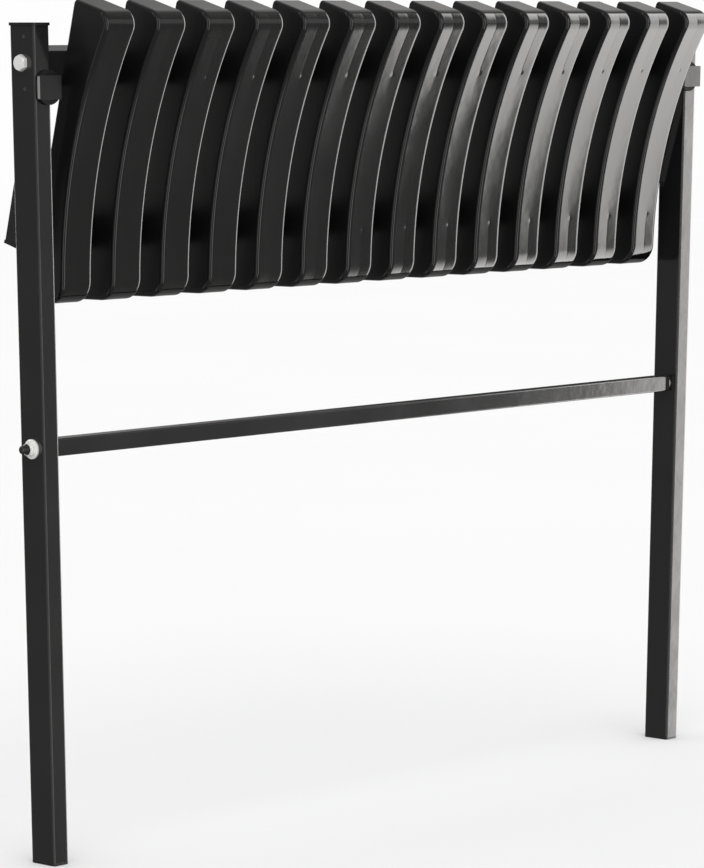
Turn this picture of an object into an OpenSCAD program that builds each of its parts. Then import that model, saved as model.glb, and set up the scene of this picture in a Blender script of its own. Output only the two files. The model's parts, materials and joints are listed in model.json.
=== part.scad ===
// Garden kneeler seat: two upright legs, a spreader, and a slatted seat panel that swings on two pivot bolts.
// +Z is up, -Y is the front. The origin is on the floor, midway between the legs and at the middle of the whole depth.

/* [Frame] */
// Overall width over the outer faces of the legs
frame_w = 760; // [745:1:800]
// Overall height, caps included
frame_h = 600; // [560:1:640]
// Leg tube width across the front
leg_w = 15; // [14:0.5:18]
// Leg tube depth, front to back
leg_d = 25; // [24:0.5:30]
// Wall of the leg tubes
leg_wall = 1.2; // [1:0.1:1.6]
// Outer corner radius of the leg tubes
leg_r = 1.6; // [1.4:0.1:2]
// Size of the square spreader tube
spreader_size = 12.7; // [12:0.1:14]
// Height of the spreader's centre line
spreader_z = 306.5; // [280:0.5:340]

/* [Seat] */
// Height of the pivot axis
pivot_z = 573; // [560:0.5:576]
// Lean of the hanging seat from vertical, in degrees
seat_tilt = 15.3; // [10:0.1:25]
// Number of slats, which is fixed by the node list
slat_count = 14; // [14:1:14]
// Distance from one slat to the next
slat_pitch = 50.9; // [48:0.1:51.5]
// Width of a slat
slat_w = 29.8; // [26:0.1:32]
// Top end of the slats above the pivot axis
slat_top = 46; // [40:0.5:48]
// Bottom of the slats below the pivot axis, at the front
slat_bottom = 165.5; // [156:0.5:170]
// Thinnest front to back size of a slat
slat_waist = 22.2; // [19:0.5:24]
// Radius of the hollow front of a slat
slat_hollow_r = 355; // [330:1:400]
// Wall of the moulded slats
slat_wall = 2.4; // [2:0.1:2.6]

/* [Seat frame] */
// Rail tube height, along the slats
rail_h = 25; // [24:0.5:26]
// Rail tube depth
rail_d = 15; // [14:0.5:15]
// Top of the upper rail above the pivot axis
rail_top = 10.4; // [10:0.1:10.4]
// Distance from the top of the upper rail to the top of the lower rail
rail_spacing = 119; // [110:1:124]
// Arm tube width, across the seat
arm_w = 10; // [9:0.5:11]
// Arm tube depth
arm_d = 15; // [14:0.5:15]

/* [Stops] */
// Width of a stop plate
stop_w = 21; // [19:0.5:22]
// Height of a stop plate
stop_h = 16.4; // [15:0.1:18]
// Radius of the round spacer behind a stop plate
stop_disc_r = 11.8; // [11:0.1:12]
// Thickness of the stop plate, and of the spacer
stop_t = 2.5; // [2:0.1:3]

/* [Hidden] */

$fn = 48;

// Sides: -1 is the left leg as seen from the front, +1 is the right leg.
sides = [-1, 1];
inner_x = frame_w / 2 - leg_w; // inner face of a leg
leg_y = 4.2; // centre line of the legs, which puts the middle of the whole depth on the origin
front_y = -leg_d / 2; // front face of the legs, from their centre line

// Fits
slip = 0.05; // gap of a hand fit between fixed pieces
run_fit = 0.05; // radial clearance of the pivot
joint_gap = 0.1; // side gap between moving faces
cut = 1; // how far a cutting shape passes beyond what it cuts

// M6 hardware
bolt_r = 3;
head_af = 10; // across flats of a bolt head or a nut
head_t = 4;
head_r = head_af / 2 / cos(30);
head_face_r = head_r - 0.9; // round face inside the chamfer of a bolt head
head_spread = 2; // how much the chamfer's cone widens over the height of the head
thread_r = 2.68; // pitch radius, used inside the nuts
washer_r = 6;
washer_t = 1.6;
flange_r = 7.1;
flange_t = 1.3;
nut_t = 5.8; // flange included
nut_cone_t = 1; // sloping top of the flange
nut_cone_r1 = flange_r - 0.4;
nut_cone_r2 = head_r - 0.5;
nut_collar_r = 4.4;
nut_collar_t = 1.6;
nut_ring_r = 3.9;
nut_ring_t = 1.2;
stud_over = 5.8; // thread beyond the nut
stud_in = 18; // thread inside the spreader

// Plastic end pieces
cap_t = 2; // thickness of a cap rim
cap_over = 0.9; // how far a cap rim stands out all round
plug_len = 16; // length of the part inside a tube
plug_wall = 1.6;
plug_slip = 0.1;
plug_r = 0.8; // corner radius of everything that is pushed into a tube
arm_cap_over = 0.6;

// Pivot
bush_r = 4.5;
bush_flange_r = 6.8;
bush_flange_t = 1.2;
insert_len = 14;
insert_h = 18;
dimple_r = 2.2; // radius of the round tool mark
dimple_deep = 0.35;
dimple_dz = 17.6; // distance of the marks above and below the pivot axis
dimple_y = -1.5;

// Seat frame, in the seat's own axes: x across, -y out of the front, z up the panel, origin on the pivot axis
rail_wall = 1;
rail_r = 1.2;
inside_r = 0.5; // corner radius inside every tube
rail_half = inner_x - bush_flange_t - joint_gap; // half length of the upper rail
rail_z = rail_top - rail_h / 2; // centre of the upper rail
low_z = rail_z - rail_spacing; // centre of the lower rail
arm_top = rail_top - rail_h;
arm_short = 5; // the arm's tube ends this far above the lower rail's bottom edge
arm_bottom = low_z - rail_h / 2 + arm_short;
arm_x = rail_half - arm_w / 2;
back_y = -rail_d / 2; // back plane of the slats, on the front of the rails

// Slats
first_slat_x = -(slat_count - 1) * slat_pitch / 2; // centre of the first slat
top_corner_r = 10.5;
low_corner_r = 16;
low_end_slope = 16; // the slat's lower end runs down towards its back at this angle
hollow_z = -60; // height of the deepest point of the hollow front
corner_steps = 8;
hollow_steps = 28;
rib_t = 1.6;
rib_recess = 5; // ribs stop short of the slat's back plane
ribs_z = [24, -32, -62, -92, -146];
boss_r = 4.2;
pilot_r = 1.6;
pilot_deep = 12;
screw_r = 1.55;
screw_head_r = 3.8;
screw_neck_r = 2.8; // where the screw's head meets the rail
screw_head_t = 2.2;
screw_tip_gap = 1;
screw_len = rail_d + pilot_deep - screw_tip_gap;

// Stops
stop_corner_r = 1;
stop_drop = 16.4; // centre of a stop below the pivot axis
stop_z = pivot_z - stop_drop;

// Points on a circle about c from angle a0 to angle a1
function arc(c, r, a0, a1, steps) =
    [for (i = [0 : steps]) let (a = a0 + (a1 - a0) * i / steps) c + r * [cos(a), sin(a)]];

// Side outline of a slat, drawn as [y, z]: a straight back, a hollow front and two rounded corners.
// inset moves the front and the ends inwards; back is the y of the open back.
function slat_outline(inset, back) =
    let (
        centre = [back_y - slat_waist - slat_hollow_r, hollow_z],
        top_z = slat_top - top_corner_r,
        low_z = -slat_bottom + low_corner_r,
        top_a = asin((top_z - hollow_z) / (slat_hollow_r + top_corner_r)),
        low_a = asin((low_z - hollow_z) / (slat_hollow_r + low_corner_r)),
        top_c = [centre[0] + (slat_hollow_r + top_corner_r) * cos(top_a), top_z],
        low_c = [centre[0] + (slat_hollow_r + low_corner_r) * cos(low_a), low_z],
        low_end = low_c + (low_corner_r - inset) * [cos(270 - low_end_slope), sin(270 - low_end_slope)]
    )
    concat(
        [[back, slat_top - inset]],
        arc(top_c, top_corner_r - inset, 90, 180 + top_a, corner_steps),
        arc(centre, slat_hollow_r + inset, top_a, low_a, hollow_steps),
        arc(low_c, low_corner_r - inset, 180 + low_a, 270 - low_end_slope, corner_steps),
        [[back, low_end[1] - (back - low_end[0]) * tan(low_end_slope)]]
    );

// Rectangle with round corners, centred
module round_rect(w, d, r) {
    square([w - 2 * r, d], center = true);
    square([w, d - 2 * r], center = true);
    for (sx = sides, sy = sides)
        translate([sx * (w / 2 - r), sy * (d / 2 - r)])
            circle(r);
}

// Rectangular tube along +Z, standing on z = 0
module tube(w, d, wall, r, len) {
    linear_extrude(len)
        difference() {
            round_rect(w, d, r);
            round_rect(w - 2 * wall, d - 2 * wall, inside_r);
        }
}

// Push-in end piece: a rim on z = 0 that rises, and a hollow plug that goes down into the tube
module end_piece(w, d, wall, r, rim_over, rim_t, len) {
    inner_w = w - 2 * wall - 2 * plug_slip;
    inner_d = d - 2 * wall - 2 * plug_slip;
    linear_extrude(rim_t)
        round_rect(w + 2 * rim_over, d + 2 * rim_over, r + rim_over / 2);
    translate([0, 0, -len])
        linear_extrude(len)
            difference() {
                round_rect(inner_w, inner_d, plug_r);
                square([inner_w - 2 * plug_wall, inner_d - 2 * plug_wall], center = true);
            }
}

// Cylinder along +X from the origin
module rod_x(r, len) {
    rotate([0, 90, 0])
        cylinder(r = r, h = len);
}

// Places children on the left, and their mirror image on the right
module mirrored() {
    for (side = sides)
        mirror([side > 0 ? 1 : 0, 0, 0])
            children();
}

// Moves children to the left leg: x = 0 at its outer face, +X pointing in, y = 0 on its centre line
module at_leg() {
    translate([-frame_w / 2, leg_y, 0])
        children();
}

module at_both_sides() {
    mirrored()
        at_leg()
            children();
}

// Places children in the seat's own axes
module in_seat() {
    translate([0, leg_y, pivot_z])
        rotate([seat_tilt, 0, 0])
            children();
}

module leg() {
    difference() {
        translate([leg_w / 2, 0, cap_t])
            tube(leg_w, leg_d, leg_wall, leg_r, frame_h - 2 * cap_t);
        translate([-cut, 0, pivot_z])
            rod_x(bush_r + slip, leg_w + 2 * cut);
        translate([-cut, 0, spreader_z])
            rod_x(bolt_r + slip, leg_w + 2 * cut);
        for (dz = [-dimple_dz, dimple_dz])
            translate([dimple_deep - dimple_r, dimple_y, pivot_z + dz])
                sphere(dimple_r);
    }
}

module leg_left() {
    color("#1c1c1e")
        at_leg()
            leg();
}

module leg_right() {
    color("#1c1c1e")
        mirror([1, 0, 0])
            at_leg()
                leg();
}

module top_caps() {
    color("#161616")
        at_both_sides()
            translate([leg_w / 2, 0, frame_h - cap_t])
                end_piece(leg_w, leg_d, leg_wall, leg_r, cap_over, cap_t, plug_len);
}

module foot_plugs() {
    color("#161616")
        at_both_sides()
            translate([leg_w / 2, 0, cap_t])
                mirror([0, 0, 1])
                    end_piece(leg_w, leg_d, leg_wall, leg_r, 0, cap_t, plug_len);
}

module spreader() {
    half = inner_x - washer_t;
    color("#1c1c1e")
        translate([-half, leg_y, spreader_z])
            rotate([0, 90, 0])
                tube(spreader_size, spreader_size, rail_wall, rail_r, 2 * half);
}

// Threaded blocks pressed into the ends of the spreader
module spreader_plugs() {
    size = spreader_size - 2 * rail_wall - 2 * slip;
    color("#8a8a86")
        at_both_sides()
            translate([leg_w + washer_t, 0, spreader_z])
                difference() {
                    rotate([0, 90, 0])
                        linear_extrude(stud_in)
                            round_rect(size, size, plug_r);
                    translate([-cut, 0, 0])
                        rod_x(bolt_r + slip, stud_in + 2 * cut);
                }
}

// Studs from the spreader out through the legs: full radius, but at the thread's pitch radius inside the nuts
module spreader_studs() {
    color("#3a3a38")
        at_both_sides()
            translate([0, 0, spreader_z]) {
                rod_x(bolt_r, leg_w + washer_t + stud_in);
                translate([-nut_t, 0, 0])
                    rod_x(thread_r, nut_t);
                translate([-nut_t - stud_over, 0, 0])
                    rod_x(bolt_r, stud_over);
            }
}

module spreader_washers() {
    color("#c8c9cc")
        at_both_sides()
            translate([leg_w, 0, spreader_z])
                difference() {
                    rod_x(washer_r, washer_t);
                    translate([-cut, 0, 0])
                        rod_x(bolt_r + slip, washer_t + 2 * cut);
                }
}

// Lock nuts with a wide flange against the leg and a round collar at the outer end
module flange_nuts() {
    hex_t = nut_t - nut_collar_t;
    color("#c8c9cc")
        at_both_sides()
            translate([0, 0, spreader_z])
                rotate([0, -90, 0])
                    difference() {
                        union() {
                            cylinder(r = flange_r, h = flange_t);
                            translate([0, 0, flange_t])
                                cylinder(r1 = nut_cone_r1, r2 = nut_cone_r2, h = nut_cone_t);
                            cylinder(r = head_r, h = hex_t, $fn = 6);
                            cylinder(r = nut_collar_r, h = nut_t);
                        }
                        translate([0, 0, -cut])
                            cylinder(r = thread_r + slip, h = nut_t + 2 * cut);
                        translate([0, 0, nut_t - nut_ring_t])
                            cylinder(r = nut_ring_r, h = nut_ring_t + cut);
                    }
}

// Nylon locking rings in the collars of the nuts
module nut_rings() {
    color("#20242a")
        at_both_sides()
            translate([-nut_t, 0, spreader_z])
                difference() {
                    rod_x(nut_ring_r - slip, nut_ring_t);
                    translate([-cut, 0, 0])
                        rod_x(thread_r + slip, nut_ring_t + 2 * cut);
                }
}

module stop_plates() {
    color("#1c1c1e")
        at_both_sides()
            translate([stop_w / 2, front_y - stop_t, stop_z])
                rotate([90, 0, 0])
                    linear_extrude(stop_t)
                        round_rect(stop_w, stop_h, stop_corner_r);
}

module stop_discs() {
    color("#161616")
        at_both_sides()
            translate([stop_disc_r, front_y, stop_z])
                rotate([90, 0, 0])
                    cylinder(r = stop_disc_r, h = stop_t);
}

// Nylon sleeves through the legs, with a flange that keeps the seat clear of the leg
module pivot_bushes() {
    color("#20242a")
        at_both_sides()
            translate([0, 0, pivot_z])
                difference() {
                    union() {
                        rod_x(bush_r, leg_w);
                        translate([leg_w, 0, 0])
                            rod_x(bush_flange_r, bush_flange_t);
                    }
                    translate([-cut, 0, 0])
                        rod_x(bolt_r + run_fit, leg_w + bush_flange_t + 2 * cut);
                }
}

// Hex bolts from outside, through the bushes and into the threaded inserts of the upper rail
module pivot_bolts() {
    reach = joint_gap + leg_w + bush_flange_t + joint_gap + insert_len;
    color("#c8c9cc")
        at_both_sides()
            translate([-joint_gap, 0, pivot_z])
                rotate([0, 90, 0]) {
                    cylinder(r = bolt_r, h = reach);
                    translate([0, 0, -head_t])
                        intersection() {
                            cylinder(r = head_r, h = head_t, $fn = 6);
                            cylinder(r1 = head_face_r, r2 = head_face_r + head_spread, h = head_t);
                        }
                }
}

// Threaded inserts welded into the ends of the upper rail
module pivot_inserts() {
    d = rail_d - 2 * rail_wall - 2 * slip;
    color("#8a8a86")
        in_seat()
            mirrored()
                translate([-rail_half, 0, 0])
                    difference() {
                        translate([0, -d / 2, rail_z - insert_h / 2])
                            cube([insert_len, d, insert_h]);
                        translate([-cut, 0, 0])
                            rod_x(bolt_r + slip, insert_len + 2 * cut);
                    }
}

// Rail tube centred on x = 0, with clearance holes for the slat screws
module rail(half, z) {
    difference() {
        translate([-half, 0, z])
            rotate([0, 90, 0])
                tube(rail_h, rail_d, rail_wall, rail_r, 2 * half);
        for (i = [0 : slat_count - 1])
            translate([first_slat_x + i * slat_pitch, rail_d, z])
                rotate([90, 0, 0])
                    cylinder(r = screw_r + slip, h = 2 * rail_d);
    }
}

module upper_rail() {
    color("#1c1c1e")
        in_seat()
            rail(rail_half, rail_z);
}

module lower_rail() {
    color("#1c1c1e")
        in_seat()
            rail(rail_half - arm_w, low_z);
}

module arm(side) {
    in_seat()
        translate([side * arm_x, 0, arm_bottom])
            tube(arm_w, arm_d, rail_wall, rail_r, arm_top - arm_bottom);
}

module arm_left() {
    color("#1c1c1e")
        arm(-1);
}

module arm_right() {
    color("#1c1c1e")
        arm(1);
}

// End pieces of the arms, cut flush on the inner side, where the lower rail is welded on
module arm_caps() {
    color("#161616")
        in_seat()
            mirrored()
                translate([-arm_x, 0, arm_bottom])
                    mirror([0, 0, 1])
                        difference() {
                            end_piece(arm_w, arm_d, rail_wall, rail_r, arm_cap_over, cap_t, plug_len);
                            translate([arm_w / 2 - slip, -arm_d, -cut])
                                cube([arm_w, 2 * arm_d, cap_t + 2 * cut]);
                        }
}

// Pan-head screws from behind, through both rails into the bosses of the slats
module slat_screws() {
    color("#c8c9cc")
        in_seat()
            for (i = [0 : slat_count - 1], z = [rail_z, low_z])
                translate([first_slat_x + i * slat_pitch, rail_d / 2, z])
                    rotate([90, 0, 0]) {
                        cylinder(r = screw_r, h = screw_len);
                        translate([0, 0, -screw_head_t])
                            cylinder(r1 = screw_neck_r, r2 = screw_head_r, h = screw_head_t);
                    }
}

// Side outline drawn across the slat's width, centred on x = 0
module slat_block(w, inset, back) {
    translate([-w / 2, 0, 0])
        rotate([90, 0, 90])
            linear_extrude(w)
                polygon(slat_outline(inset, back));
}

// Moulded slat: a shell open at the back, with cross ribs and two screw bosses
module slat(number) {
    inner_w = slat_w - 2 * slat_wall;
    color("#141414")
        in_seat()
            translate([first_slat_x + (number - 1) * slat_pitch, 0, 0])
                difference() {
                    union() {
                        difference() {
                            slat_block(slat_w, 0, back_y);
                            slat_block(inner_w, slat_wall, back_y + cut);
                        }
                        intersection() {
                            slat_block(inner_w + slat_wall, slat_wall / 2, back_y - rib_recess);
                            for (z = ribs_z)
                                translate([-slat_w / 2, -slat_top, z - rib_t / 2])
                                    cube([slat_w, slat_top, rib_t]);
                        }
                        for (z = [rail_z, low_z])
                            intersection() {
                                slat_block(inner_w, slat_wall / 2, back_y);
                                translate([0, 0, z])
                                    rotate([90, 0, 0])
                                        cylinder(r = boss_r, h = slat_top);
                            }
                    }
                    for (z = [rail_z, low_z])
                        translate([0, back_y + cut, z])
                            rotate([90, 0, 0])
                                cylinder(r = pilot_r, h = pilot_deep + cut);
                }
}

leg_left();
leg_right();
top_caps();
foot_plugs();
spreader();
spreader_plugs();
spreader_studs();
spreader_washers();
flange_nuts();
nut_rings();
stop_plates();
stop_discs();
pivot_bushes();
pivot_bolts();
pivot_inserts();
upper_rail();
lower_rail();
arm_left();
arm_right();
arm_caps();
slat_screws();
slat(1);  // slat_01
slat(2);  // slat_02
slat(3);  // slat_03
slat(4);  // slat_04
slat(5);  // slat_05
slat(6);  // slat_06
slat(7);  // slat_07
slat(8);  // slat_08
slat(9);  // slat_09
slat(10);  // slat_10
slat(11);  // slat_11
slat(12);  // slat_12
slat(13);  // slat_13
slat(14);  // slat_14
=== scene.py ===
"""Looks for the garden kneeler seat: finer slats, threads and screws around the CAD frame, with
materials, light and camera."""

import itertools
import json
import math

import bmesh
import bpy
from mathutils import Matrix, Vector
from mathutils.geometry import tessellate_polygon


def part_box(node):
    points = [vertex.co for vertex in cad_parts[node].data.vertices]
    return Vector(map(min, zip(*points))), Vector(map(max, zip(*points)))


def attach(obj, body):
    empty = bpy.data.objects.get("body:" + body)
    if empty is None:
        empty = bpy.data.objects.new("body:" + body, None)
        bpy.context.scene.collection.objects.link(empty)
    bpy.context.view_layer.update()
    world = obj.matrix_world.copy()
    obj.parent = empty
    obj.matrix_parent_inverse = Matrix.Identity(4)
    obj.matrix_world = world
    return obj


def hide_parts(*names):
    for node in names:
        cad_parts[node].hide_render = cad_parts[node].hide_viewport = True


MM = 0.001
MERGE = 1e-6  # vertices closer than this are joined, in metres
SLIVER = 1e-7  # edges shorter than this are removed, in metres

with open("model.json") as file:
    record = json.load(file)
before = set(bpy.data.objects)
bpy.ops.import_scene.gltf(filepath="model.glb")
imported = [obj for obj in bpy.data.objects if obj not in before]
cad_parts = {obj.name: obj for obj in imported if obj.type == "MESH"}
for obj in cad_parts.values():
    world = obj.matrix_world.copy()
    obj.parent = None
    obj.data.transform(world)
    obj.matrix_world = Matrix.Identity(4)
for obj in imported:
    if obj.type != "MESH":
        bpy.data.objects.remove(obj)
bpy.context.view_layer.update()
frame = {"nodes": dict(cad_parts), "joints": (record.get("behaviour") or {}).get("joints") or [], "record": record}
nodes = frame["nodes"]
joint = frame["joints"][0]

# ---------------------------------------------------------------- the seat's own axes, in mm
PIVOT = Vector(joint["pos_m"])
TILT = math.radians(15.3)  # lean of the hanging seat
SEAT = Matrix.Translation(PIVOT) @ Matrix.Rotation(TILT, 4, "X") @ Matrix.Scale(MM, 4)

# ---------------------------------------------------------------- slat sizes, in mm
SLATS = 14
SLAT_W = 29.8
BACK_Y = -7.5
TOP = 46
BOTTOM = -165.5
WAIST = 22.2
HOLLOW_R = 355
HOLLOW_Z = -60
TOP_R = 10.5
LOW_R = 16
LOW_SLOPE = math.radians(16)  # the lower end runs down towards the back
WALL = 2.4
EDGE_R = 3.0  # rounding of the slat's front and end edges
EDGE_STEPS = 7
UPPER_Z = -2.1  # height of the upper screw boss
LOWER_Z = -121.1
RIBS_Z = (24, -32, -62, -92, -146)
RIB_T = 1.6
RIB_RECESS = 5
BOSS_R = 4.2
BOSS_SIDES = 24
PILOT_R = 1.62
PILOT_DEEP = 12
EMBED = 0.6  # how far ribs and bosses reach into the walls they stand on

# ---------------------------------------------------------------- fineness of the slat's mesh
OUTER_STEP = 2.2  # distance between rows of points, in mm
INNER_STEP = 6.0
TOP_STEPS = 20
LOW_STEPS = 22
FINE_GAP = 0.9  # distance between the extra rows around a sink mark
FINE_ROWS = 4
FLAT_STEPS = 18
SAME_POINT = 1e-6
SLAT_SMOOTH = 32  # edges that turn more than this stay sharp, in degrees


def smoothstep(low, high, value):
    t = min(1.0, max(0.0, (value - low) / (high - low)))
    return t * t * (3 - 2 * t)


def turn(i, steps):
    """Angle of step i when a full turn has this many steps."""
    return 2 * math.pi * i / steps


def side_path(inset, step, fine_at=()):
    """Side outline of a slat from its top back edge to its bottom back edge.

    Gives (y, z, normal y, normal z) for each point. inset moves the front and the ends inwards,
    and fine_at holds heights around which the hollow front gets extra points.
    """
    centre_y = BACK_Y - WAIST - HOLLOW_R
    top_z, low_z = TOP - TOP_R, BOTTOM + LOW_R
    top_a = math.asin((top_z - HOLLOW_Z) / (HOLLOW_R + TOP_R))
    low_a = math.asin((low_z - HOLLOW_Z) / (HOLLOW_R + LOW_R))
    top_y = centre_y + (HOLLOW_R + TOP_R) * math.cos(top_a)
    low_y = centre_y + (HOLLOW_R + LOW_R) * math.cos(low_a)
    end_a = 1.5 * math.pi - LOW_SLOPE
    path = []

    def add(y, z, ny, nz):
        if not path or math.dist(path[-1][:2], (y, z)) > SAME_POINT:
            path.append((y, z, ny, nz))

    def straight(y0, z0, y1, z1, ny, nz):
        count = max(2, round(abs(y1 - y0) / step))
        for i in range(count + 1):
            add(y0 + (y1 - y0) * i / count, z0 + (z1 - z0) * i / count, ny, nz)

    def bend(y, z, r, a0, a1, count):
        for i in range(count + 1):
            a = a0 + (a1 - a0) * i / count
            add(y + r * math.cos(a), z + r * math.sin(a), math.cos(a), math.sin(a))

    straight(BACK_Y, TOP - inset, top_y, TOP - inset, 0.0, 1.0)
    bend(top_y, top_z, TOP_R - inset, math.pi / 2, math.pi + top_a, TOP_STEPS)
    hollow_steps = round(HOLLOW_R * (top_a - low_a) / step)
    hollow = [top_a + (low_a - top_a) * i / hollow_steps for i in range(1, hollow_steps)]
    fine = [z + FINE_GAP * k for z in fine_at for k in range(-FINE_ROWS, FINE_ROWS + 1)]
    hollow += [math.asin((z - HOLLOW_Z) / HOLLOW_R) for z in fine]
    for a in sorted(hollow, reverse=True):
        r = HOLLOW_R + inset
        add(centre_y + r * math.cos(a), HOLLOW_Z + r * math.sin(a), -math.cos(a), -math.sin(a))
    bend(low_y, low_z, LOW_R - inset, math.pi + low_a, end_a, LOW_STEPS)
    end_y, end_z = path[-1][:2]
    back_z = end_z - (BACK_Y - end_y) * math.tan(LOW_SLOPE)
    straight(end_y, end_z, BACK_Y, back_z, math.cos(end_a), math.sin(end_a))
    return path


def front_y(z, inset):
    """Depth of the hollow front at height z, moved inwards by inset."""
    return BACK_Y - WAIST - HOLLOW_R + math.sqrt((HOLLOW_R + inset) ** 2 - (z - HOLLOW_Z) ** 2)


# ---------------------------------------------------------------- moulding detail of the slats, in mm
V_DEEP = 0.085  # sunk middle above the upper boss and below the lower one, with slopes like a V
V_SOFT = 0.063  # rounding at the bottom of the V, as a share of the half width
V_SOFT_SQUARE = 0.004
SAG_DEEP = 0.05  # sunk middle between the bosses, with a round cross section
V_UPPER = (UPPER_Z - 22, UPPER_Z + 4)  # heights over which the round section becomes the V
V_LOWER = (LOWER_Z - 6, LOWER_Z + 12)
END_FACE = 0.97  # a face whose normal is this close to vertical is an end face
FADE_TOP = (-32.0, -20.0)  # depths over which the sunk middle fades out along the end faces
FADE_LOW = (-34.0, -24.0)
MARK_DEEP = 0.07  # sink marks over the screw bosses
MARK_R = 1.35
MARK_X = 1.2
MARKS = ((UPPER_Z, 1.0), (LOWER_Z, 0.8))  # height of each mark, and its share of the depth
RIB_MARK = 0.018  # sink lines over the ribs between the bosses
RIB_MARK_W = 1.1
RIB_MARKS_Z = RIBS_Z[1:4]
RIB_FADE = (0.8, 1.0)
FLOW_DEEP = 0.010  # flow line along the middle, at both ends
FLOW_X = 0.36
FLOW_W = 0.7
FLOW_FADE = 3
FLOW_LOW = 0.6
EXTRA_X = (MARK_X - 0.7, MARK_X + 0.7, FLOW_X - 0.6, FLOW_X + 0.6)  # points across for the marks


def dip(x, z, half):
    """How far the moulded surface is sunk at x across the slat and height z."""
    a = min(1.0, abs(x) / half)
    ends = smoothstep(*V_UPPER, z) + 1 - smoothstep(*V_LOWER, z)
    v = V_DEEP * (1 - math.sqrt(a * a + V_SOFT_SQUARE) + V_SOFT)
    sag = SAG_DEEP * (1 - a * a)
    d = sag + (v - sag) * min(1.0, ends)
    for mark_z, share in MARKS:
        away = ((x - MARK_X) ** 2 + (z - mark_z) ** 2) / MARK_R**2
        d += MARK_DEEP * share * math.exp(-away)
    inside = 1 - smoothstep(*RIB_FADE, a)
    for rib_z in RIB_MARKS_Z:
        d += RIB_MARK * inside * math.exp(-(((z - rib_z) / RIB_MARK_W) ** 2))
    flow = smoothstep(UPPER_Z, UPPER_Z + FLOW_FADE, z) * (1 - smoothstep(TOP - FLOW_FADE, TOP, z))
    flow += FLOW_LOW * (1 - smoothstep(LOWER_Z - FLOW_FADE, LOWER_Z, z))
    return d + FLOW_DEEP * flow * math.exp(-(((x - FLOW_X) / FLOW_W) ** 2))


def across(half):
    """Stations across a slat: x and how far the rounded edge is set back there."""
    flat = half - EDGE_R
    edge = []
    for i in range(EDGE_STEPS + 1):
        a = math.pi / 2 * i / EDGE_STEPS
        edge.append((-flat - EDGE_R * math.cos(a), EDGE_R * (1 - math.sin(a))))
    inner = [-flat + 2 * flat * i / FLAT_STEPS for i in range(1, FLAT_STEPS)]
    middle = [(x, 0.0) for x in sorted([*inner, *EXTRA_X])]
    return edge + middle + [(-x, back) for x, back in reversed(edge)]


# ---------------------------------------------------------------- mesh helpers
def grid(bm, rows):
    """Faces between rows of equally many points. Returns the rows of vertices."""
    made = [[bm.verts.new(p) for p in row] for row in rows]
    for upper, lower in zip(made, made[1:]):
        for i in range(len(upper) - 1):
            bm.faces.new((upper[i], upper[i + 1], lower[i + 1], lower[i]))
    return made


BOX_FACES = ((0, 1, 3, 2), (4, 6, 7, 5), (0, 4, 5, 1), (2, 3, 7, 6), (0, 2, 6, 4), (1, 5, 7, 3))


def box_faces(bm, low, high):
    """A closed box between two corners."""
    v = [bm.verts.new(corner) for corner in itertools.product(*zip(low, high))]
    for face in BOX_FACES:
        bm.faces.new([v[i] for i in face])


def circle_row(r, along, steps):
    """Points round local Z at one radius and height; the last point is the first one again."""
    return [
        Vector((r * math.cos(turn(i, steps)), r * math.sin(turn(i, steps)), along))
        for i in range(steps + 1)
    ]


def lathe(bm, profile, place, steps):
    """Turns a profile of (radius, distance along) about local Z. The later merge closes the seam."""
    grid(bm, [[place @ p for p in circle_row(r, along, steps)] for r, along in profile])


def finish_mesh(bm, name, matrix, smooth_angle):
    """Joins, cleans and scales the mesh into the frame's axes and returns it as an object."""
    bm.transform(matrix)
    bmesh.ops.remove_doubles(bm, verts=bm.verts, dist=MERGE)
    bmesh.ops.dissolve_degenerate(bm, edges=bm.edges, dist=SLIVER)
    bmesh.ops.recalc_face_normals(bm, faces=bm.faces)
    mesh = bpy.data.meshes.new(name)
    bm.to_mesh(mesh)
    bm.free()
    mesh.shade_smooth()
    mesh.set_sharp_from_angle(angle=math.radians(smooth_angle))
    obj = bpy.data.objects.new(name, mesh)
    bpy.context.scene.collection.objects.link(obj)
    return obj


# ---------------------------------------------------------------- slats
def slat_front(bm, half):
    """The outer skin, with rounded edges and moulding detail. Returns its rows of vertices."""
    stations = across(half)
    rows = []
    for y, z, ny, nz in side_path(0.0, OUTER_STEP, (UPPER_Z, LOWER_Z)):
        fade = 1.0
        if abs(nz) > END_FACE:
            fade = 1 - smoothstep(*(FADE_TOP if nz > 0 else FADE_LOW), y)
        row = []
        for x, back in stations:
            d = back if back > 0.0 else dip(x, z, half - EDGE_R) * fade
            row.append((x, y - ny * d, z - nz * d))
        rows.append(row)
    made = grid(bm, rows)
    for end in (0, -1):
        bm.faces.new([row[end] for row in made])
    return made


def slat_hollow(bm, inner):
    """The inner skin, one wall inside the outer one. Returns its rows of vertices."""
    path = side_path(WALL, INNER_STEP)
    made = grid(bm, [[(x, y, z) for x in (-inner, 0.0, inner)] for y, z, _, _ in path])
    for end in (0, -1):
        bm.faces.new([row[end] for row in made])
    return made


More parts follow.
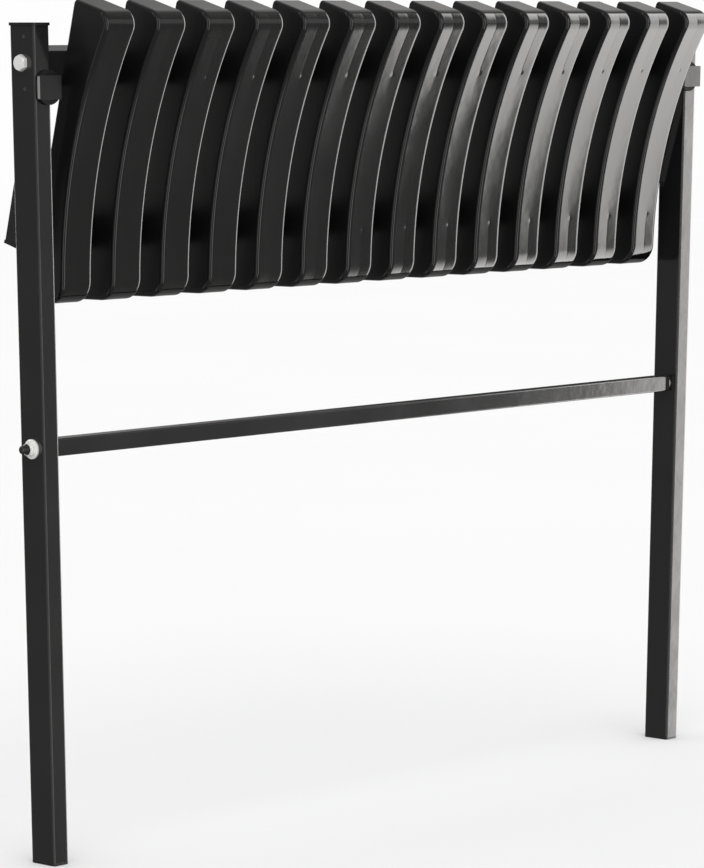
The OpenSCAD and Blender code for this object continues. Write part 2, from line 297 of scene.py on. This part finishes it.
def slat(number, x):
    """One moulded shell, open at the back, with ribs and two screw bosses."""
    half = SLAT_W / 2
    inner = half - WALL
    bm = bmesh.new()
    outer_made = slat_front(bm, half)
    inner_made = slat_hollow(bm, inner)
    # the flat rim between both skins at the open back
    loops = [made[0] + list(reversed(made[-1])) for made in (outer_made, inner_made)]
    both = loops[0] + loops[1]
    for face in tessellate_polygon([[v.co for v in loop] for loop in loops]):
        bm.faces.new([both[i] for i in face])
    for z in RIBS_Z:
        low = (-inner - EMBED, front_y(z, WALL) - EMBED, z - RIB_T / 2)
        box_faces(bm, low, (inner + EMBED, BACK_Y - RIB_RECESS, z + RIB_T / 2))
    for z in (UPPER_Z, LOWER_Z):
        place = Matrix.Translation((0, BACK_Y, z)) @ Matrix.Rotation(math.pi / 2, 4, "X")
        reach = BACK_Y - front_y(z, WALL) + EMBED
        profile = ((PILOT_R, 0.0), (BOSS_R, 0.0), (BOSS_R, reach), (0.0, reach))
        lathe(bm, profile, place, BOSS_SIDES)
        lathe(bm, ((0.0, PILOT_DEEP), (PILOT_R, PILOT_DEEP), (PILOT_R, 0.0)), place, BOSS_SIDES)
    matrix = SEAT @ Matrix.Translation((x, 0, 0))
    obj = finish_mesh(bm, f"slat_{number:02d}_moulding", matrix, SLAT_SMOOTH)
    # keeps large flat faces flat where they run into a rounded edge
    even = obj.modifiers.new("even_shading", "WEIGHTED_NORMAL")
    even.keep_sharp = True
    return obj


# ---------------------------------------------------------------- studs, in mm
THREAD_PITCH = 1.0
THREAD_TOP = 2.97
THREAD_ROOT = 2.42
THREAD_RISE = (0.08, 0.42)  # where the flanks lie in one pitch
THREAD_FALL = (0.58, 0.92)
THREAD_STEPS = 36
THREAD_ROWS = 10  # rows of faces in one turn
THREAD_SMOOTH = 50
STUD_OVER = 5.8  # free threaded length past the nut
TIP_R = THREAD_ROOT - 0.5
TIP_SLOPE = 11 / 9  # growth of the cone at the tip, per mm along
TIP_LIFT = 0.02  # the first threaded row stands this far from the flat end
NUT_STEP = 0.01  # length over which the thread ends at the nut
IN_NUT_R = 2.66
PLUG_REACH = 18  # how far the stud goes in past the plug's outer face


def thread_radius(turns):
    """Radius of the thread for a place counted in turns: flat crest, flat root, sloping flanks."""
    t = turns - math.floor(turns)
    flank = smoothstep(*THREAD_RISE, t) * (1 - smoothstep(*THREAD_FALL, t))
    return THREAD_ROOT + (THREAD_TOP - THREAD_ROOT) * flank


def stud(side):
    """Threaded end of the spreader's stud, and its plain part through the nut, leg and plug."""
    low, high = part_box("spreader_studs")
    leg_low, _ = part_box("leg_left")
    plug_low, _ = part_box("spreader_plugs")
    to_leg = (leg_low.x - low.x) / MM
    inside = (plug_low.x - low.x) / MM + PLUG_REACH

    def ring(along, radius_of):
        row = []
        for i in range(THREAD_STEPS + 1):
            r = radius_of(i / THREAD_STEPS)
            a = turn(i, THREAD_STEPS)
            row.append((along, r * math.cos(a), r * math.sin(a)))
        return row

    def plain(along, r):
        return ring(along, lambda part: r)

    rows = [plain(0.0, 0.0), plain(0.0, TIP_R)]
    count = round(STUD_OVER / THREAD_PITCH * THREAD_ROWS)
    for k in range(count + 1):
        along = STUD_OVER * k / count
        cone = TIP_R + along * TIP_SLOPE
        turns = along / THREAD_PITCH
        rows.append(ring(max(along, TIP_LIFT), lambda part: min(thread_radius(turns - part), cone)))
    rows.append(plain(STUD_OVER + NUT_STEP, IN_NUT_R))
    rows.append(plain(to_leg, IN_NUT_R))
    rows.append(plain(to_leg, THREAD_TOP))
    rows.append(plain(inside, THREAD_TOP))
    rows.append(plain(inside, 0.0))
    bm = bmesh.new()
    grid(bm, rows)
    middle = (low + high) / 2
    matrix = Matrix.Translation((-side * low.x, middle.y, middle.z))
    if side > 0:
        matrix = matrix @ Matrix.Rotation(math.pi, 4, "Z")
    matrix = matrix @ Matrix.Scale(MM, 4)
    name = "stud_left_thread" if side < 0 else "stud_right_thread"
    return finish_mesh(bm, name, matrix, THREAD_SMOOTH)


# ---------------------------------------------------------------- slat screws, in mm
HEAD_R = 3.75
HEAD_T = 2.15
HEAD_RIM = 0.45  # height of the dome's edge, as a share of the head's height
HEAD_ROUND = 0.93  # how much of a full ellipse the dome is
HEAD_ROWS = 21
HEAD_STEPS = 48
HEAD_UNDER = ((HEAD_R, 0.35), (HEAD_R - 0.9, 0.02))  # radius and height of the head's underside
SHANK_R = 1.5
SHANK_LEN = 25
SHANK_TIP = 0.8
RECESS_LONG = 1.75  # half length and half width of the recess's arms
RECESS_WIDE = 0.45
RECESS_DEEP = 1.2
RECESS_SOFT = (0.3, 0.25)  # slope at the ends and at the sides of the arms
SCREW_SMOOTH = 40
# how far each screw is turned when tight, in degrees: a first angle for each row and a step along it
SCREW_TURNS = ((UPPER_Z, 11), (LOWER_Z, 58))
SCREW_TURN_STEP = 37
CROSS_TURN = 90


def head_top(r, a):
    """Height of the domed head at radius r and angle a, with its cross recess cut in."""
    x, y = abs(r * math.cos(a)), abs(r * math.sin(a))
    dome = math.sqrt(1 - HEAD_ROUND * (r / HEAD_R) ** 2)
    top = HEAD_T * (HEAD_RIM + (1 - HEAD_RIM) * dome)
    end, side = RECESS_SOFT
    in_width = 1 - smoothstep(RECESS_WIDE, RECESS_WIDE + side, min(x, y))
    in_length = 1 - smoothstep(RECESS_LONG, RECESS_LONG + end, max(x, y))
    return top - RECESS_DEEP * in_width * in_length


def screw(bm, place):
    """Domed screw head and its shank, which points along local -Z into the rail."""
    rows = []
    for k in range(HEAD_ROWS + 1):
        r = HEAD_R * k / HEAD_ROWS
        angles = [turn(i, HEAD_STEPS) for i in range(HEAD_STEPS + 1)]
        rows.append([Vector((r * math.cos(a), r * math.sin(a), head_top(r, a))) for a in angles])
    shank = ((SHANK_R, HEAD_UNDER[-1][1]), (SHANK_R, -SHANK_LEN), (0.0, -SHANK_LEN - SHANK_TIP))
    rows += [circle_row(r, z, HEAD_STEPS) for r, z in HEAD_UNDER + shank]
    grid(bm, [[place @ p for p in row] for row in rows])


def screws(xs):
    """All slat screws, in two rows, with their heads on the rails' back faces."""
    bm = bmesh.new()
    for index, x in enumerate(xs):
        for z, first_turn in SCREW_TURNS:
            angle = math.radians((index * SCREW_TURN_STEP + first_turn) % CROSS_TURN)
            place = Matrix.Translation((x, -BACK_Y, z)) @ Matrix.Rotation(-math.pi / 2, 4, "X")
            screw(bm, place @ Matrix.Rotation(angle, 4, "Z"))
    return finish_mesh(bm, "slat_screw_set", SEAT, SCREW_SMOOTH)


# ---------------------------------------------------------------- shader node helpers
def node(tree, kind, inputs=None, **settings):
    """Adds a node. A value in inputs is either a socket to link or a plain value."""
    made = tree.nodes.new(kind)
    for key, value in settings.items():
        setattr(made, key, value)
    for key, value in (inputs or {}).items():
        if isinstance(value, bpy.types.NodeSocket):
            tree.links.new(value, made.inputs[key])
        else:
            made.inputs[key].default_value = value
    return made


def noise(tree, coords, scale, detail=3.0):
    inputs = {"Vector": coords, "Scale": scale, "Detail": detail, "Roughness": 0.55}
    return node(tree, "ShaderNodeTexNoise", inputs).outputs["Fac"]


def spread(tree, value, low, high, start=0.3, end=0.7):
    """Maps the stretch from start to end to the stretch from low to high."""
    ends = {"Value": value, "From Min": start, "From Max": end, "To Min": low, "To Max": high}
    return node(tree, "ShaderNodeMapRange", ends).outputs["Result"]


def step_up(tree, value, edge, soft):
    """0 below the edge and 1 above it, with a soft step between."""
    ends = {"Value": value, "From Min": edge - soft, "From Max": edge + soft}
    made = node(tree, "ShaderNodeMapRange", ends, interpolation_type="SMOOTHSTEP")
    return made.outputs["Result"]


def calc(tree, a, b, operation="MULTIPLY"):
    return node(tree, "ShaderNodeMath", {0: a, 1: b}, operation=operation).outputs[0]


def vector_calc(tree, operation, *inputs):
    return node(tree, "ShaderNodeVectorMath", dict(enumerate(inputs)), operation=operation)


def mix_colour(tree, share, a, b):
    made = node(tree, "ShaderNodeMix", {"Factor": share}, data_type="RGBA")
    for key, value in ((6, a), (7, b)):
        if isinstance(value, bpy.types.NodeSocket):
            tree.links.new(value, made.inputs[key])
        else:
            made.inputs[key].default_value = (*value, 1.0)
    return made.outputs[2]


# ---------------------------------------------------------------- materials
CLOUD = 14.0  # scale of the uneven colour and roughness over a whole piece
SPECK = 2600.0  # scale of the specks in worn edges
DUST_COLOUR = (0.30, 0.29, 0.28)
# light grey for faces that point sideways: a painted highlight
PAINTED_SIDE_HIGHLIGHT = (0.55, 0.54, 0.53)
LIGHTER = 1.25  # the lightest patches, as a share of the base colour
FLAT_SIDE = (0.9, 0.99)  # how far sideways a face points to count as a side
FACING_UP = (0.55, 1.0)  # how far upwards a face points to hold dust
ROUNDED = (0.9, 0.995)  # cosine between a rounded edge's normal and its flat face's
DUST_ROUGH = 0.8  # roughness that full dust and full wear add
WEAR_ROUGH = 0.25


def material(name, colour, worn, rough, metallic=0.0, grain=900.0, grain_deep=0.02, wave=60.0,
             wave_deep=0.1, bevel=0.35, stretch=(1.0, 1.0, 1.0), dust=0.06, wear=0.35, specular=0.5,
             side_rough=0.0, side_highlight=0.0):
    """A painted, moulded or plated finish.

    It has uneven colour and roughness, fine bumps (grain) and broad ones (wave), with depths in mm,
    rounded and worn edges, dust on top, and sides that can be duller and can carry a painted highlight.
    """
    mat = bpy.data.materials.new(name)
    mat.use_nodes = True
    tree = mat.node_tree
    tree.nodes.clear()
    coords = node(tree, "ShaderNodeTexCoord").outputs["Object"]
    coords = node(tree, "ShaderNodeMapping", {"Vector": coords, "Scale": stretch}).outputs[0]
    cloud = noise(tree, coords, CLOUD, 4.0)
    flat = node(tree, "ShaderNodeNewGeometry").outputs["Normal"]
    facing = node(tree, "ShaderNodeSeparateXYZ", {0: flat}).outputs
    # two layers of bumps, added to the normal of the rounded edges
    inputs = {"Height": noise(tree, coords, wave, 2.0), "Strength": 1.0, "Distance": wave_deep * MM}
    bumps = node(tree, "ShaderNodeBump", inputs).outputs[0]
    inputs = {"Height": noise(tree, coords, grain), "Strength": 1.0, "Distance": grain_deep * MM}
    bumps = node(tree, "ShaderNodeBump", {**inputs, "Normal": bumps}).outputs[0]
    rounded = node(tree, "ShaderNodeBevel", {"Radius": bevel * MM}, samples=4).outputs[0]
    normal = vector_calc(tree, "SUBTRACT", bumps, flat).outputs[0]
    normal = vector_calc(tree, "ADD", rounded, normal).outputs[0]
    normal = vector_calc(tree, "NORMALIZE", normal).outputs[0]
    # worn edges, dust on faces that look up, and sides, which can be rougher and carry a painted highlight
    edge = vector_calc(tree, "DOT_PRODUCT", rounded, flat).outputs["Value"]
    edge = spread(tree, edge, 1.0, 0.0, *ROUNDED)
    specks = spread(tree, noise(tree, coords, SPECK, 1.0), 0.25, 1.0, 0.35, 0.62)
    edge = calc(tree, calc(tree, edge, specks), wear)
    settled = spread(tree, facing["Z"], 0.0, dust, *FACING_UP)
    settled = calc(tree, settled, spread(tree, cloud, 0.4, 1.0))
    sideways = spread(tree, calc(tree, facing["X"], 0.0, "ABSOLUTE"), 0.0, 1.0, *FLAT_SIDE)
    base = mix_colour(tree, spread(tree, cloud, 0.0, 1.0), colour, [c * LIGHTER for c in colour])
    base = mix_colour(tree, settled, base, DUST_COLOUR)
    base = mix_colour(tree, edge, base, worn)
    # sides are mixed towards light grey: a painted highlight standing in for a light line mirrored in them
    base = mix_colour(tree, calc(tree, sideways, side_highlight), base, PAINTED_SIDE_HIGHLIGHT)
    roughness = spread(tree, cloud, rough * 0.85, rough * 1.2)
    for share, more in ((settled, DUST_ROUGH), (edge, WEAR_ROUGH), (sideways, side_rough)):
        roughness = calc(tree, roughness, calc(tree, share, more), "ADD")
    shader = node(tree, "ShaderNodeBsdfPrincipled", {
        "Base Color": base, "Roughness": roughness, "Metallic": metallic,
        "Normal": normal, "Specular IOR Level": specular,
    })
    node(tree, "ShaderNodeOutputMaterial", {"Surface": shader.outputs[0]})
    return mat


DARK_WEAR = (0.05, 0.05, 0.05)
FINISH = {
    "frame_paint": material(
        "black_powder_coat", (0.0160, 0.0152, 0.0154), DARK_WEAR, 0.10,
        grain=420.0, grain_deep=0.006, wave=55.0, wave_deep=0.05, bevel=0.5, specular=0.75,
    ),
    # the plates' end faces are painted half way to light grey: a painted highlight for the light line along their
    # edges
    "plate_side_highlight": material(
        "black_plate_painted_side_highlight", (0.0120, 0.0115, 0.0117), DARK_WEAR, 0.16,
        grain=420.0, grain_deep=0.006, wave=90.0, wave_deep=0.04, bevel=0.3, side_highlight=0.5,
    ),
    "slat_plastic": material(
        "black_moulded_plastic", (0.0085, 0.0088, 0.0088), (0.035, 0.035, 0.035), 0.085,
        grain=700.0, grain_deep=0.0025, wave=45.0, wave_deep=0.05, bevel=0.25, dust=0.05, side_rough=0.22,
    ),
    "cap_plastic": material(
        "black_cap_plastic", (0.012, 0.012, 0.0125), DARK_WEAR, 0.28,
        grain=1100.0, grain_deep=0.02, wave=120.0, wave_deep=0.03, bevel=0.4,
    ),
    "spacer_plastic": material(
        "dull_black_plastic", (0.009, 0.009, 0.009), (0.03, 0.03, 0.03), 0.62,
        grain=1300.0, grain_deep=0.03, wave=150.0, wave_deep=0.03, bevel=0.3, specular=0.22,
    ),
    "nylon": material(
        "dark_nylon", (0.020, 0.022, 0.026), (0.06, 0.06, 0.065), 0.42, grain=1500.0, grain_deep=0.02,
    ),
    "zinc": material(
        "bright_zinc", (0.94, 0.94, 0.92), (0.96, 0.96, 0.96), 0.20, metallic=0.3,
        grain=1800.0, grain_deep=0.010, wave=500.0, wave_deep=0.015, bevel=0.22, dust=0.0, wear=0.5,
    ),
    "bare_steel": material(
        "plain_steel", (0.40, 0.40, 0.40), (0.55, 0.55, 0.55), 0.38, metallic=1.0,
        grain=1200.0, grain_deep=0.01, stretch=(0.08, 1.0, 1.0), dust=0.0,
    ),
    "dark_steel": material(
        "oiled_thread", (0.11, 0.11, 0.11), (0.45, 0.45, 0.45), 0.34, metallic=1.0,
        grain=2200.0, grain_deep=0.012, dust=0.0, bevel=0.1, wear=0.6,
    ),
}


def paint(obj, finish):
    obj.data.materials.clear()
    obj.data.materials.append(FINISH[finish])
    for face in obj.data.polygons:
        face.material_index = 0


for part in frame["record"]["subparts"]:
    paint(nodes[part["node"]], part["material_slot"])
# the stop plates take the finish with a painted highlight on their end faces
paint(nodes["stop_plates"], "plate_side_highlight")


# ---------------------------------------------------------------- new pieces, in place of CAD nodes
def put_in(piece, body, node_name, slot):
    """Paints a new piece, joins it to a body and lets it stand for a CAD node."""
    paint(piece, slot)
    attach(piece, body)
    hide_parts(node_name)


def middle_x(node_name):
    low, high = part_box(node_name)
    return (low.x + high.x) / 2 / MM


first_x, last_x = middle_x("slat_01"), middle_x(f"slat_{SLATS:02d}")
slat_xs = [first_x + (last_x - first_x) * i / (SLATS - 1) for i in range(SLATS)]
for number, x in enumerate(slat_xs, 1):
    put_in(slat(number, x), "seat", f"slat_{number:02d}", "slat_plastic")
for side in (-1, 1):
    put_in(stud(side), "frame", "spreader_studs", "dark_steel")
put_in(screws(slat_xs), "seat", "slat_screws", "zinc")

# ---------------------------------------------------------------- floor, in metres
FLAT_R = 9.0
RISE_R = 3.0
RISE_STEPS = 12
FLOOR_RINGS = (0.0, 0.05, 0.2, 0.5, 1.0)  # as shares of the flat part's radius
FLOOR_STEPS = 96
FLOOR_SMOOTH = 60
FLOOR_TONE = 0.93
FLOOR_UNEVEN = 0.006


def studio_floor():
    """A wide round floor whose far rim rises smoothly, like a studio sweep in every direction."""
    profile = [(FLAT_R * share, 0.0) for share in FLOOR_RINGS]
    for i in range(1, RISE_STEPS + 1):
        a = math.pi / 2 * i / RISE_STEPS
        profile.append((FLAT_R + RISE_R * math.sin(a), RISE_R * (1 - math.cos(a))))
    bm = bmesh.new()
    lathe(bm, profile, Matrix.Identity(4), FLOOR_STEPS)
    floor = finish_mesh(bm, "studio_floor", Matrix.Identity(4), FLOOR_SMOOTH)
    if floor.data.polygons[0].normal.z < 0:
        floor.data.flip_normals()
    mat = bpy.data.materials.new("pale_floor")
    mat.use_nodes = True
    tree = mat.node_tree
    tree.nodes.clear()
    coords = node(tree, "ShaderNodeTexCoord").outputs["Object"]
    tone = spread(tree, noise(tree, coords, 1.3), FLOOR_TONE - FLOOR_UNEVEN, FLOOR_TONE + FLOOR_UNEVEN)
    colour = node(tree, "ShaderNodeCombineColor", {"Red": tone, "Green": tone, "Blue": tone})
    shader = node(tree, "ShaderNodeBsdfDiffuse", {"Color": colour.outputs[0]})
    node(tree, "ShaderNodeOutputMaterial", {"Surface": shader.outputs[0]})
    floor.data.materials.append(mat)
    # the glossy pieces mirror the studio below, not the floor
    floor.visible_glossy = False
    floor.visible_diffuse = False
    return floor


studio_floor()

# ---------------------------------------------------------------- studio light
# Glossy faces mirror these soft boxes. Azimuth 0 is straight out of the front and grows towards the
# right leg; elevation is above the horizon; both are in degrees. A negative strength darkens.
AMBIENT = 0.86  # even light on everything that isn't glossy
PALE = 0.97
STUDIO_DARK = 0.30  # what is mirrored where there is no box
WARM_WHITE = (1.0, 0.985, 0.97, 1.0)
WHITE = (1.0, 1.0, 1.0, 1.0)
# (azimuth from, to, elevation from, to, softness, strength)
BOXES = (
    (0, 90, 3, 24, 3, 0.45),  # dim band above the horizon, in the slats' upper corners
    (105, 130, 13, 60, 2.5, 0.26),  # sky behind on the right, in the slats' top faces
    (-185, -98, -95, 95, 8, -0.1),  # dim wall behind on the left
    (110, 134, -5, 11, 2.5, -0.27),  # dark low strip behind on the right, in the spreader's top face
    (-113, -105, -40, 60, 3, 1.3),  # narrow light on the left, for the lines on the left edges
    (-55, -45, -30, 48, 4, 2.0),  # soft box near the photo's viewpoint, for edge lines
    (-8, 9, -40, 38, 5, 2.6),  # straight ahead, for the front view
    (141, 160, -25, 40, 1.5, 2.0),  # behind on the right, for the rear views
    (166, 178, -30, 50, 4, 1.6),
    (-172, -160, -30, 50, 4, 1.6),
)
# The large bright card at the right. Its left edge is given by the direction's x, and slants.
CARD = 5.2
CARD_EDGE = 0.7855
CARD_SOFT = 0.006
CARD_SLANT_LOW = 0.060  # slant below the horizon, per unit of the direction's z
CARD_SLANT_HIGH = -0.07
CARD_HIGH_FROM = 0.20  # z of the direction from which the upper slant starts
CARD_RIGHT = (88, 6)  # azimuth of its right edge, and how soft that edge is
CARD_TOP = (47, 5)  # elevation of its top edge, and how soft that edge is


def box_share(tree, value, low, high, soft):
    return calc(tree, step_up(tree, value, low, soft), step_up(tree, value, high, soft), "SUBTRACT")


def bright_card(tree, direction, azimuth, elevation):
    """How much of the card is seen in a direction, from 0 to 1."""
    low = calc(tree, calc(tree, direction["Z"], 0.0, "MINIMUM"), CARD_SLANT_LOW)
    high = calc(tree, calc(tree, direction["Z"], CARD_HIGH_FROM, "SUBTRACT"), 0.0, "MAXIMUM")
    high = calc(tree, high, CARD_SLANT_HIGH)
    across_x = calc(tree, calc(tree, direction["X"], low, "SUBTRACT"), high, "SUBTRACT")
    share = step_up(tree, across_x, CARD_EDGE, CARD_SOFT)
    for value, (edge, soft) in ((azimuth, CARD_RIGHT), (elevation, CARD_TOP)):
        share = calc(tree, share, calc(tree, 1.0, step_up(tree, value, edge, soft), "SUBTRACT"))
    return share


def studio_world():
    """Even light on matt faces, soft boxes in glossy ones, and a pale backdrop for the camera."""
    world = bpy.data.worlds.new("studio")
    bpy.context.scene.world = world
    world.use_nodes = True
    tree = world.node_tree
    tree.nodes.clear()
    coords = node(tree, "ShaderNodeTexCoord").outputs["Generated"]
    direction = node(tree, "ShaderNodeSeparateXYZ", {0: coords}).outputs
    azimuth = calc(tree, direction["X"], calc(tree, direction["Y"], -1.0), "ARCTAN2")
    azimuth = calc(tree, azimuth, math.degrees(1))
    elevation = calc(tree, calc(tree, direction["Z"], 0.0, "ARCSINE"), math.degrees(1))
    total = calc(tree, bright_card(tree, direction, azimuth, elevation), CARD)
    total = calc(tree, total, STUDIO_DARK, "ADD")
    for az_from, az_to, el_from, el_to, soft, strength in BOXES:
        share = calc(tree, box_share(tree, azimuth, az_from, az_to, soft),
                     box_share(tree, elevation, el_from, el_to, soft))
        total = calc(tree, total, calc(tree, share, strength), "ADD")
    mirrored, even, backdrop = [
        node(tree, "ShaderNodeBackground", {"Color": colour, "Strength": strength}).outputs[0]
        for colour, strength in ((WARM_WHITE, total), (WHITE, AMBIENT), (WHITE, PALE))
    ]
    ray = node(tree, "ShaderNodeLightPath").outputs
    lit = node(tree, "ShaderNodeMixShader", {0: ray["Is Glossy Ray"], 1: even, 2: mirrored})
    final = node(tree, "ShaderNodeMixShader", {0: ray["Is Camera Ray"], 1: lit.outputs[0], 2: backdrop})
    node(tree, "ShaderNodeOutputWorld", {"Surface": final.outputs[0]})


SUN_STRENGTH = 0.75
SUN_SIZE = math.radians(50)
SUN_TILT = (math.radians(28), math.radians(-18), 0)


def soft_sun():
    """A wide soft light from above, for the shadows on the floor; glossy faces don't mirror it."""
    sun = bpy.data.lights.new("soft_sun", "SUN")
    sun.energy = SUN_STRENGTH
    sun.angle = SUN_SIZE
    obj = bpy.data.objects.new("soft_sun", sun)
    obj.rotation_euler = SUN_TILT
    obj.visible_glossy = False
    bpy.context.scene.collection.objects.link(obj)


studio_world()
soft_sun()

# ---------------------------------------------------------------- camera, at the photo's viewpoint
CAMERA_AT = Vector((-2.3814, -2.1400, 0.6043))
CAMERA_TURN = math.radians(47.462)  # from +Y towards +X
CAMERA_DOWN = math.radians(19.494)
LENS = 162.42
SENSOR = 36
SHIFT = {"shift_x": 0.0100, "shift_y": 1.1155}  # lens shift, as shares of the frame's long side
CLIP = (0.05, 100)
SAME_PLACE = 0.001


def shift_only_here(camera, channel, amount):
    """Lens shift that is on at the photo's viewpoint and off elsewhere, so other views stay centred."""
    driver = camera.data.driver_add(channel).driver
    driver.type = "SCRIPTED"
    variable = driver.variables.new()
    variable.name = "x"
    variable.type = "SINGLE_PROP"
    variable.targets[0].id = camera
    variable.targets[0].data_path = "location[0]"
    driver.expression = f"{amount} if fabs(x - ({CAMERA_AT.x:.4f})) < {SAME_PLACE} else 0.0"


def photo_camera():
    data = bpy.data.cameras.new("photo_camera")
    data.sensor_width = SENSOR
    data.lens = LENS
    data.clip_start, data.clip_end = CLIP
    camera = bpy.data.objects.new("photo_camera", data)
    bpy.context.scene.collection.objects.link(camera)
    level = math.cos(CAMERA_DOWN)
    look = Vector((math.sin(CAMERA_TURN) * level, math.cos(CAMERA_TURN) * level, -math.sin(CAMERA_DOWN)))
    camera.location = CAMERA_AT
    camera.rotation_mode = "QUATERNION"
    camera.rotation_quaternion = look.to_track_quat("-Z", "Y")
    for channel, amount in SHIFT.items():
        shift_only_here(camera, channel, amount)
    return camera


bpy.context.scene.camera = photo_camera()

view = bpy.context.scene.view_settings
view.view_transform = "Standard"
view.look = "None"
view.exposure = 0.0
view.gamma = 1.0
